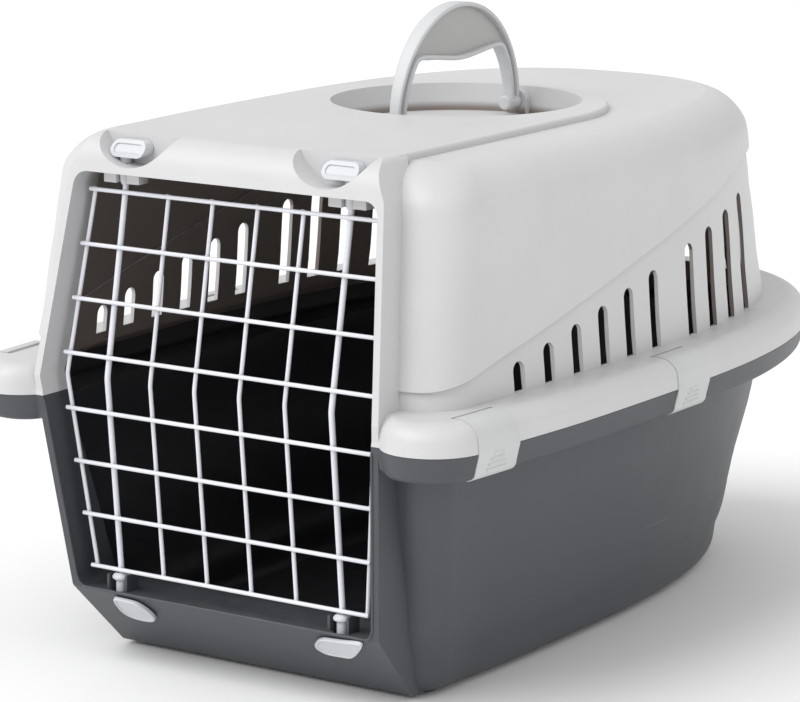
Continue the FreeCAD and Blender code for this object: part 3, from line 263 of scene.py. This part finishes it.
def powderCoat(name, look):
    # stoved powder on steel wire: slight orange peel and a little shade variation
    material = bpy.data.materials.new(name)
    material.use_nodes = True
    tree = material.node_tree
    shader = tree.nodes["Principled BSDF"]
    grain = place(tree, "ShaderNodeGroup", node_tree=mouldGrain)
    grain.inputs["Grain Size"].default_value = look["peelSize"]
    grain.inputs["Peel"].default_value = look["peel"]
    wear = place(tree, "ShaderNodeGroup", node_tree=handling)
    wear.inputs["Cloud Size"].default_value = look["cloudSize"]
    shade = colourMix(tree, wear.outputs["Cloud"], toLinear(look["shadeDark"]), toLinear(look["shadeLight"]))
    wire(tree, shade, shader.inputs["Base Color"])
    wire(tree, spread(tree, grain.outputs["Pits"], 0.0, 1.0, look["roughLow"], look["roughHigh"]),
         shader.inputs["Roughness"])
    bump = place(tree, "ShaderNodeBump")
    bump.inputs["Strength"].default_value = look["bump"]
    bump.inputs["Distance"].default_value = look["grainDepth"]
    wire(tree, grain.outputs["Height"], bump.inputs["Height"])
    wire(tree, bump.outputs["Normal"], shader.inputs["Normal"])
    shader.inputs["Coat Weight"].default_value = look["coat"]
    shader.inputs["Coat Roughness"].default_value = look["coatRough"]
    return material


lidLook = {"shadeDark": (200, 200, 201), "shadeLight": (207, 207, 208), "dustShade": (214, 213, 210),
           "scuffShade": (226, 226, 226), "grainSize": 1100.0, "peel": 0.5, "cloudSize": 7.0,
           "scuff": 0.25, "pitShade": 0.25, "dust": 0.20, "roughLow": 0.40, "roughHigh": 0.47,
           "bump": 0.28, "grainDepth": 0.0003,
           # painted shade: a warm dark colour on the shell's inner side, behind the jambs and below the top
           "hollowShade": (104, 88, 78), "hollowAmount": 0.85, "hollowCentre": (0.0, 0.0, 0.17),
           "hollowFront": -0.240, "hollowTop": 0.312}
tubLook = {"shadeDark": (68, 70, 74), "shadeLight": (76, 78, 82), "dustShade": (118, 118, 116),
           "scuffShade": (118, 120, 124), "grainSize": 1000.0, "peel": 0.6, "cloudSize": 6.0,
           "scuff": 0.35, "pitShade": 0.30, "dust": 0.22, "roughLow": 0.42, "roughHigh": 0.52,
           "bump": 0.35, "grainDepth": 0.0003,
           # painted shade: a near-black colour on the tub's inner side, behind the jambs
           "hollowShade": (34, 34, 38), "hollowAmount": 0.8, "hollowCentre": (0.0, 0.0, 0.15),
           "hollowFront": -0.225, "hollowTop": 0.30}
clipLook = {"shadeDark": (194, 195, 195), "shadeLight": (203, 204, 204), "dustShade": (210, 209, 205),
            "scuffShade": (224, 224, 224), "grainSize": 1500.0, "peel": 0.3, "cloudSize": 16.0,
            "scuff": 0.4, "pitShade": 0.2, "dust": 0.2, "roughLow": 0.36, "roughHigh": 0.44,
            "bump": 0.2, "grainDepth": 0.0002}
handleLook = {"shadeDark": (197, 198, 199), "shadeLight": (206, 207, 209), "dustShade": (210, 209, 206),
              "scuffShade": (236, 236, 236), "grainSize": 1500.0, "peel": 0.3, "cloudSize": 14.0,
              "scuff": 0.3, "pitShade": 0.2, "dust": 0.12, "roughLow": 0.34, "roughHigh": 0.42,
              # painted shade: a darker grey on the web sunk between the flanges
              "bump": 0.2, "grainDepth": 0.0002, "hollowShade": (172, 172, 170), "hollowAmount": 0.9}
latchLook = {"shadeDark": (199, 201, 205), "shadeLight": (208, 210, 214), "dustShade": (210, 209, 206),
             "scuffShade": (230, 230, 230), "grainSize": 1500.0, "peel": 0.3, "cloudSize": 20.0,
             "scuff": 0.3, "pitShade": 0.2, "dust": 0.12, "roughLow": 0.32, "roughHigh": 0.40,
             "bump": 0.2, "grainDepth": 0.0002}
wireLook = {"shadeDark": (216, 217, 223), "shadeLight": (228, 229, 236), "peelSize": 900.0, "peel": 1.0,
            "cloudSize": 12.0, "roughLow": 0.26, "roughHigh": 0.36, "bump": 0.25, "grainDepth": 0.0001,
            "coat": 0.3, "coatRough": 0.15}

lidPlastic = mouldedPlastic("lidPlastic", lidLook)
tubPlastic = mouldedPlastic("tubPlastic", tubLook)
clipPlastic = mouldedPlastic("clipPlastic", clipLook)
handlePlastic = mouldedPlastic("handlePlastic", handleLook)
latchPlastic = mouldedPlastic("latchPlastic", latchLook)
whiteWire = powderCoat("whiteWire", wireLook)


def coat(node, material):
    node.data.materials.clear()
    node.data.materials.append(material)


for name, node in nodes.items():
    if name.startswith("door_"):
        coat(node, whiteWire)
    elif name.startswith("clip_"):
        coat(node, clipPlastic)
    elif "latch" in name:
        coat(node, latchPlastic)
coat(nodes["upper_shell"], lidPlastic)
coat(nodes["lower_shell"], tubPlastic)
coat(nodes["handle"], handlePlastic)
print("materials placed")


def skinRings(rings):
    # rings of points, one after the other, skinned with quads and closed by a fan at each end: point j of
    # ring i is number i * around + j, and each quad joins j and j + 1 of ring i to those of ring i + 1;
    # rings is an array of (count along, count round, 3)
    along, around = rings.shape[:2]
    points = np.concatenate([rings.reshape(-1, 3), rings[0].mean(0)[None], rings[-1].mean(0)[None]])
    index = np.arange(along * around).reshape(along, around)
    turned = np.roll(index, -1, axis=1)
    quads = np.stack([index[:-1], index[1:], turned[1:], turned[:-1]], axis=-1).reshape(-1, 4)
    first, last = along * around, along * around + 1
    startFan = np.stack([np.full(around, first), index[0], turned[0]], axis=-1)
    endFan = np.stack([np.full(around, last), turned[-1], index[-1]], axis=-1)
    return points, quads, np.concatenate([startFan, endFan])


def buildPiece(name, skins, body, material, shadowed=()):
    # several closed skins put into one smooth-shaded mesh, with their normals turned outwards;
    # the points of the shadowed skins carry a painted-shade value of one, which darkens their colour as
    # shade
    points, faces, offset = [], [], 0
    for corners, quads, fans in skins:
        points.append(corners)
        faces += (quads + offset).tolist() + (fans + offset).tolist()
        offset += len(corners)
    mesh = bpy.data.meshes.new(name)
    mesh.from_pydata(np.concatenate(points).tolist(), [], faces)
    shell = bmesh.new()
    shell.from_mesh(mesh)
    bmesh.ops.recalc_face_normals(shell, faces=shell.faces)
    shell.to_mesh(mesh)
    shell.free()
    mesh.polygons.foreach_set("use_smooth", np.ones(len(mesh.polygons), bool))
    recess = np.concatenate([np.full(len(skin[0]), float(number in shadowed))
                             for number, skin in enumerate(skins)])
    mesh.attributes.new("recess", "FLOAT", "POINT").data.foreach_set("value", recess)
    mesh.materials.append(material)
    piece = bpy.data.objects.new(name, mesh)
    scene.collection.objects.link(piece)
    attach(piece, body)
    return piece


def roundedSection(count, power):
    # points round a soft-cornered rectangle of half sides one: signed powers of cosine and sine
    angle = np.linspace(0, 2 * np.pi, count, endpoint=False)
    return (np.sign(np.cos(angle)) * np.abs(np.cos(angle)) ** power,
            np.sign(np.sin(angle)) * np.abs(np.sin(angle)) ** power)


def supported(profile, near=0.12):
    # each run of a profile gets a point close to both its ends, at start + run * near and
    # start + run * (1 - near), so that smooth shading keeps its corners crisp
    profile = np.asarray(profile, float)
    start, run = profile[:-1, None], np.diff(profile, axis=0)[:, None]
    split = np.array([0.0, near, 1 - near])[None, :, None]
    return np.concatenate([(start + run * split).reshape(-1, profile.shape[1]), profile[-1:]])


def taperedEnds(count, share):
    # one along the middle, falling to nothing at both ends as a quarter circle:
    # the root of 1 - (1 - reach)^2, where reach rises from 0 to 1 over the given share of the length
    t = np.linspace(0, 1, count)
    reach = np.clip(np.minimum(t, 1 - t) / share, 0, 1)
    return np.sqrt(1 - (1 - reach) ** 2)


def turnedRings(profile, steps):
    # a profile of (place along the line, radius) turned about that line; gives the places, and the radius
    # times the cosine and times the sine of each angle
    turn = np.linspace(0, 2 * np.pi, steps, endpoint=False)
    along, radius = profile[:, :1], profile[:, 1:2]
    return np.repeat(along, steps, axis=1), radius * np.cos(turn), radius * np.sin(turn)


handleShape = {"outerRadius": 0.0690, "legRadius": 0.0628, "grip": 0.0357, "gripSag": 0.0056,
               "sagReach": 0.85, "cornerBlend": 26.0, "flangeHalf": 0.0016,
               "halfWidthTop": 0.0053, "halfWidthFoot": 0.0036, "widthGain": 1.15, "widthPower": 1.3,
               "webHalf": 0.0015, "webLeast": 0.001, "sectionPower": 0.42,
               "endTaper": 0.012, "endLeast": 0.02, "leastSine": 1e-4,
               "hubRadius": 0.0045, "hubInner": 0.0565, "hubOuter": 0.0709, "hubRound": 0.0008,
               "pinRadius": 0.0030, "pinRound": 0.0004, "capRadius": 0.001,
               "steps": 150, "sectionSteps": 20, "hubSteps": 40}


def handleRings(radius, thickness, width):
    # a soft rectangular section carried along a curve given by its distance from the pivot at each angle:
    # place = pivot + radius(angle) * (cos, sin) + thickness * normal + width * across
    look = handleShape
    angle = np.linspace(0, np.pi, look["steps"])
    centre = np.stack([radius * np.cos(angle), radius * np.sin(angle)], axis=1)
    tangent = np.gradient(centre, axis=0)
    tangent /= np.linalg.norm(tangent, axis=1)[:, None]
    normal = np.stack([tangent[:, 1], -tangent[:, 0]], axis=1)
    deep, wide = roundedSection(look["sectionSteps"], look["sectionPower"])
    flat = centre[:, None, :] + normal[:, None, :] * (thickness[:, None] * deep)[:, :, None]
    return np.stack([width[:, None] * wide, flat[..., 0], flat[..., 1] + pivotHeight], axis=-1)


def handleSkins():
    # outer band: a circle of outerRadius about the pivot. Inner band: the soft minimum, the sum of both
    # radii to a high negative power brought back by its root, of the leg circle and the line of the grip
    look = handleShape
    angle = np.linspace(0, np.pi, look["steps"])
    sine = np.maximum(np.sin(angle), look["leastSine"])
    ends = np.maximum(taperedEnds(look["steps"], look["endTaper"]), look["endLeast"])
    outer = np.full(look["steps"], look["outerRadius"])
    # underside of the grip: a sag that grows with the square of the cosine, as a height over the sine
    sag = look["gripSag"] * (np.clip(np.cos(angle) / look["sagReach"], -1, 1) ** 2)
    arc = (look["grip"] + sag) / sine
    power = -look["cornerBlend"]
    inner = (look["legRadius"] ** power + arc ** power) ** (1 / power)
    share = np.clip(sine * look["widthGain"], 0, 1) ** look["widthPower"]
    width = look["halfWidthFoot"] + (look["halfWidthTop"] - look["halfWidthFoot"]) * share
    flange = np.full(look["steps"], look["flangeHalf"]) * ends
    skins = [skinRings(handleRings(outer, flange, width * ends)),
             skinRings(handleRings(inner, flange, width * ends))]
    # web: the flat plate between the two curves
    middle, half = (outer + inner) / 2, (outer - inner) / 2
    webWidth = np.full(look["steps"], look["webHalf"])
    skins.append(skinRings(handleRings(middle, np.maximum(half, look["webLeast"]), webWidth)))
    # hubs: a turned profile about the pivot, stepping down to the pin that stands in the cup's boss
    tip = float(handleBox[1].y)
    inside, outside = look["hubInner"], look["hubOuter"]
    hub, pin = look["hubRadius"], look["pinRadius"]
    hubRound, pinRound = look["hubRound"], look["pinRound"]
    profile = supported([
        (inside, look["capRadius"]), (inside, hub - hubRound), (inside + hubRound, hub),
        (outside - pinRound, hub), (outside, hub - pinRound), (outside, pin),
        (tip - pinRound, pin), (tip, pin - pinRound), (tip, look["capRadius"])])
    along, first, second = turnedRings(profile, look["hubSteps"])
    for side in (1, -1):
        skins.append(skinRings(np.stack([first, side * along, second + pivotHeight], axis=-1)))
    return skins


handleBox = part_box("handle")
pivotHeight = jointNamed("handle_fold")["pos_m"][2]
webSkin = 2  # the web is the third of the handle's skins
# the web sits sunk between the flanges and gets painted shade in its colour
handlePiece = buildPiece("archedHandle", handleSkins(), "handle", handlePlastic,
                         shadowed=(webSkin,))
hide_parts("handle")
print("handle built")


nuggetShape = {"across": 0.0020, "deep": 0.0017, "tall": 0.0016, "openEnd": 0.12, "rings": 6, "steps": 8,
               "edgeInset": 0.0025, "sink": 0.0001}


def nuggetSkins():
    # weld nuggets: a squashed ball at each crossing, halfway between the upright and the cross wire;
    # place = crossing + (across * sine * cosine, deep * sine * sine, tall * cosine) of its two angles
    look = nuggetShape
    fromTop = np.linspace(look["openEnd"], np.pi - look["openEnd"], look["rings"])[:, None]
    turn = np.linspace(0, 2 * np.pi, look["steps"], endpoint=False)
    ball = np.stack([look["across"] * np.sin(fromTop) * np.cos(turn),
                     look["deep"] * np.sin(fromTop) * np.sin(turn),
                     np.repeat(look["tall"] * np.cos(fromTop), look["steps"], axis=1)], axis=-1)
    skins = []
    for row in range(1, 9):
        lowRow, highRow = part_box(f"door_cross_wire_{row}")
        height = min(max((lowRow.z + highRow.z) / 2, doorLow), doorHigh)
        for column in range(1, 9):
            lowUp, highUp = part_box(f"door_upright_{column}")
            across = (lowUp.x + highUp.x) / 2
            if column in (1, 8):
                across = (highRow.x - look["edgeInset"]) * (1 if column == 8 else -1)
            skins.append(skinRings(ball + np.array([across, highRow.y - look["sink"], height])))
    return skins


doorLow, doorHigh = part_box("door_cross_wire_8")[0].z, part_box("door_cross_wire_1")[1].z
buildPiece("weldNuggets", nuggetSkins(), "door", whiteWire)
print("welds built")


latchShape = {
    # outlines of the two thumb pads, as (across from the rod, down the chin), in metres
    "rightOutline": [(0.0190, 0.0012), (0.0165, 0.0070), (0.0115, 0.0130), (0.0055, 0.0190),
                     (-0.0010, 0.0212), (-0.0100, 0.0216), (-0.0165, 0.0202), (-0.0192, 0.0160),
                     (-0.0172, 0.0105), (-0.0120, 0.0056), (-0.0050, 0.0034), (0.0080, 0.0020)],
    "leftOutline": [(0.0020, 0.0030), (0.0090, 0.0034), (0.0165, 0.0048), (0.0210, 0.0100),
                    (0.0228, 0.0170), (0.0200, 0.0228), (0.0130, 0.0246), (0.0050, 0.0240),
                    (-0.0008, 0.0205), (-0.0022, 0.0150), (-0.0020, 0.0090), (-0.0008, 0.0045)],
    # the pad from back to front, as (share of the outline, height off the chin)
    "layers": [(0.02, 0.0007), (0.96, 0.0007), (1.00, 0.0011), (1.00, 0.0030),
               (0.98, 0.0034), (0.89, 0.0034), (0.87, 0.0028), (0.02, 0.0028)],
    "sillY": -0.2520, "sillZ": 0.0465, "footY": -0.2095, "footZ": 0.0025,
    "collarRadius": 0.0055, "shaftRadius": 0.0034, "boreRadius": 0.0023, "capRadius": 0.0003,
    "collarDepth": 0.0040, "collarFlare": (0.0006, 0.0007), "boreDepth": 0.0096, "boreLip": (0.0006, 0.0003),
    # the dome over the collar, as (depth under its top, distance inside its rim)
    "dome": [(0.0022, 0.0), (0.0011, 0.0008), (0.0003, 0.0018)],
    "shaftFoot": 0.0385, "steps": 96, "collarSteps": 40}


def smoothOutline(points, count):
    # a closed curve through the points: each coordinate as a sum of its own whole-number waves,
    # with the highest wave shared between its two directions
    waves = np.fft.rfft(np.array(points), axis=0)
    padded = np.zeros((count // 2 + 1, 2), complex)
    padded[:len(waves) - 1] = waves[:-1]
    padded[len(waves) - 1] = waves[-1] / 2
    return np.fft.irfft(padded, count, axis=0) * count / len(points)


def doorLineY(height):
    # y of the door's turning line at a height: the joint's place plus its slope times the rise
    door = jointNamed("door_swing")
    return door["pos_m"][1] + (height - door["pos_m"][2]) * door["axis"][1] / door["axis"][2]


def latchSkins(outlineName, rodX, box):
    # thumb pad: place = middle of the outline + share * (outline - middle), laid down the chin from the
    # sill's edge and raised off it by each layer's height
    look = latchShape
    outline = smoothOutline(look[outlineName], look["steps"])
    centre = outline.mean(0)
    scale, depth = supported(look["layers"]).T
    flat = centre + scale[:, None, None] * (outline - centre)
    # down the chin and out of it, as unit steps in the (y, z) plane
    slope = np.array([look["footY"] - look["sillY"], look["footZ"] - look["sillZ"]])
    slope /= np.linalg.norm(slope)
    outward = np.array([slope[1], -slope[0]])
    y = look["sillY"] + flat[..., 1] * slope[0] + depth[:, None] * outward[0]
    z = look["sillZ"] + flat[..., 1] * slope[1] + depth[:, None] * outward[1]
    pad = skinRings(np.stack([rodX + flat[..., 0], y, z], axis=-1))
    # collar and shaft: a turned profile from the foot, up the outside, over the dome and down the bore
    top = float(box[1].z)
    collarFoot = top - look["collarDepth"]
    collar, shaft = look["collarRadius"], look["shaftRadius"]
    bore, cap = look["boreRadius"], look["capRadius"]
    flareUnder, flareOver = look["collarFlare"]
    lipAcross, lipDown = look["boreLip"]
    profile = supported(
        [(look["shaftFoot"], cap), (look["shaftFoot"], shaft), (collarFoot - flareUnder, shaft),
         (collarFoot, collar - flareUnder), (collarFoot + flareOver, collar)]
        + [(top - under, collar - inset) for under, inset in look["dome"]]
        + [(top, bore + lipAcross), (top - lipDown, bore),
           (top - look["boreDepth"], bore), (top - look["boreDepth"], cap)])
    along, first, second = turnedRings(profile, look["collarSteps"])
    return [pad, skinRings(np.stack([rodX + first, doorLineY(collarFoot) + second, along], axis=-1))]


for side, rodNode in (("right", "door_upright_7"), ("left", "door_upright_2")):
    latchNode = "bottom_latch_" + side
    rodLow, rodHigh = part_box(rodNode)
    skins = latchSkins(side + "Outline", (rodLow.x + rodHigh.x) / 2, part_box(latchNode))
    latchPiece = buildPiece("thumbLatch_" + side, skins, latchNode, latchPlastic)
    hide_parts(latchNode)
print("lower latches built")


beadShape = {"radius": 0.0009, "kinkHalf": 0.1195, "sillHalf": 0.1075, "kinkZ": 0.1780, "sillZ": 0.0465,
             "kinkY": -0.2700, "sillY": -0.2520, "topZ": 0.1640, "corner": 0.0060,
             "endTaper": 0.01, "endLeast": 0.05,
             "jambSteps": 60, "cornerSteps": 12, "sillSteps": 40, "steps": 16}


def beadSkins():
    # a thin raised edge round the lower doorway: a small circle carried down one jamb, round a quarter
    # circle, along the sill and up the other jamb;
    # place = path + radius * (cosine * first + sine * second), with both at right angles to the path
    look = beadShape
    quarter = np.linspace(0, np.pi / 2, look["cornerSteps"])
    down = np.linspace(look["topZ"], look["sillZ"] + look["corner"], look["jambSteps"])[:, None]
    jambHalf = np.interp(down, [look["sillZ"], look["kinkZ"]], [look["sillHalf"], look["kinkHalf"]])
    jamb = np.concatenate([jambHalf, down], axis=1)
    bend = np.stack([look["sillHalf"] - look["corner"] * (1 - np.cos(quarter)),
                     look["sillZ"] + look["corner"] * (1 - np.sin(quarter))], axis=1)
    along = np.linspace(look["sillHalf"] - look["corner"], 0, look["sillSteps"])[1:, None]
    sill = np.concatenate([along, np.full_like(along, look["sillZ"])], axis=1)
    half = np.concatenate([jamb, bend[1:], sill])
    path = np.concatenate([half, (half * (-1, 1))[-2::-1]])
    y = np.interp(path[:, 1], [look["sillZ"], look["kinkZ"]], [look["sillY"], look["kinkY"]])
    centre = np.stack([path[:, 0], y, path[:, 1]], axis=1)
    tangent = np.gradient(centre, axis=0)
    tangent /= np.linalg.norm(tangent, axis=1)[:, None]
    first = np.cross(tangent, np.array([0.0, 1.0, 0.0]))
    first /= np.linalg.norm(first, axis=1)[:, None]
    second = np.cross(tangent, first)
    turn = np.linspace(0, 2 * np.pi, look["steps"], endpoint=False)[:, None]
    ends = np.maximum(taperedEnds(len(centre), look["endTaper"]), look["endLeast"])
    circle = first[:, None] * np.cos(turn) + second[:, None] * np.sin(turn)
    return [skinRings(centre[:, None] + look["radius"] * ends[:, None, None] * circle)]


buildPiece("doorwayBead", beadSkins(), "base", tubPlastic)
print("doorway bead built")


studio = {"floorHalf": 14.0, "floorGap": 0.0002, "floorShade": (250, 250, 250), "floorRough": 0.8,
          "worldShade": 0.74, "backdropShade": 1.0,
          "keyStrength": 1.75, "keyFrom": (-0.45, -0.75, 0.95), "keySpread": 50.0,
          "fillStrength": 0.25, "fillFrom": (0.9, -0.5, 0.5), "fillSpread": 80.0}


def floorPiece():
    # a flat square of four points under the feet
    half = studio["floorHalf"]
    points = np.array([(-half, -half, 0), (half, -half, 0), (half, half, 0), (-half, half, 0)], float)
    points[:, 2] = cadBox[0].z - studio["floorGap"]
    mesh = bpy.data.meshes.new("studioFloor")
    mesh.from_pydata(points.tolist(), [], [(0, 1, 2, 3)])
    floor = bpy.data.objects.new("studioFloor", mesh)
    scene.collection.objects.link(floor)
    material = bpy.data.materials.new("paleFloor")
    material.use_nodes = True
    shader = material.node_tree.nodes["Principled BSDF"]
    shader.inputs["Base Color"].default_value = toLinear(studio["floorShade"])
    shader.inputs["Roughness"].default_value = studio["floorRough"]
    mesh.materials.append(material)
    return floor


def softSun(name, origin, strength, spreadAngle):
    # a wide, even light that comes from the given direction
    lamp = bpy.data.lights.new(name, "SUN")
    lamp.energy = strength
    lamp.angle = math.radians(spreadAngle)
    light = bpy.data.objects.new(name, lamp)
    light.rotation_euler = Vector(origin).to_track_quat("Z", "Y").to_euler()
    scene.collection.objects.link(light)
    return light


floorPiece()
softSun("keySun", studio["keyFrom"], studio["keyStrength"], studio["keySpread"])
softSun("fillSun", studio["fillFrom"], studio["fillStrength"], studio["fillSpread"])
world = bpy.data.worlds.new("studioWorld")
world.use_nodes = True
# the sky lights the carrier a little less brightly than it looks behind it
sky = world.node_tree
glow = sky.nodes["Background"]
glow.inputs["Color"].default_value = (studio["worldShade"],) * 3 + (1.0,)
backdrop = place(sky, "ShaderNodeBackground")
backdrop.inputs["Color"].default_value = (studio["backdropShade"],) * 3 + (1.0,)
blend = place(sky, "ShaderNodeMixShader")
wire(sky, place(sky, "ShaderNodeLightPath").outputs["Is Camera Ray"], blend.inputs["Fac"])
wire(sky, glow.outputs[0], blend.inputs[1])
wire(sky, backdrop.outputs[0], blend.inputs[2])
wire(sky, blend.outputs[0], sky.nodes["World Output"].inputs["Surface"])
scene.world = world
scene.view_settings.view_transform = "Standard"

view = {"place": (1.2026, -1.8551, 0.6212), "azimuth": 33.87, "elevation": 11.78,
        "lens": 158.8, "sensor": 36.0, "nearest": 0.05}
camera = bpy.data.objects.new("studioCamera", bpy.data.cameras.new("studioCamera"))
camera.location = view["place"]
camera.rotation_euler = (math.radians(90.0 - view["elevation"]), 0.0, math.radians(view["azimuth"]))
camera.data.lens = view["lens"]
camera.data.sensor_width = view["sensor"]
camera.data.clip_start = view["nearest"]
scene.collection.objects.link(camera)
scene.camera = camera
print("studio ready")
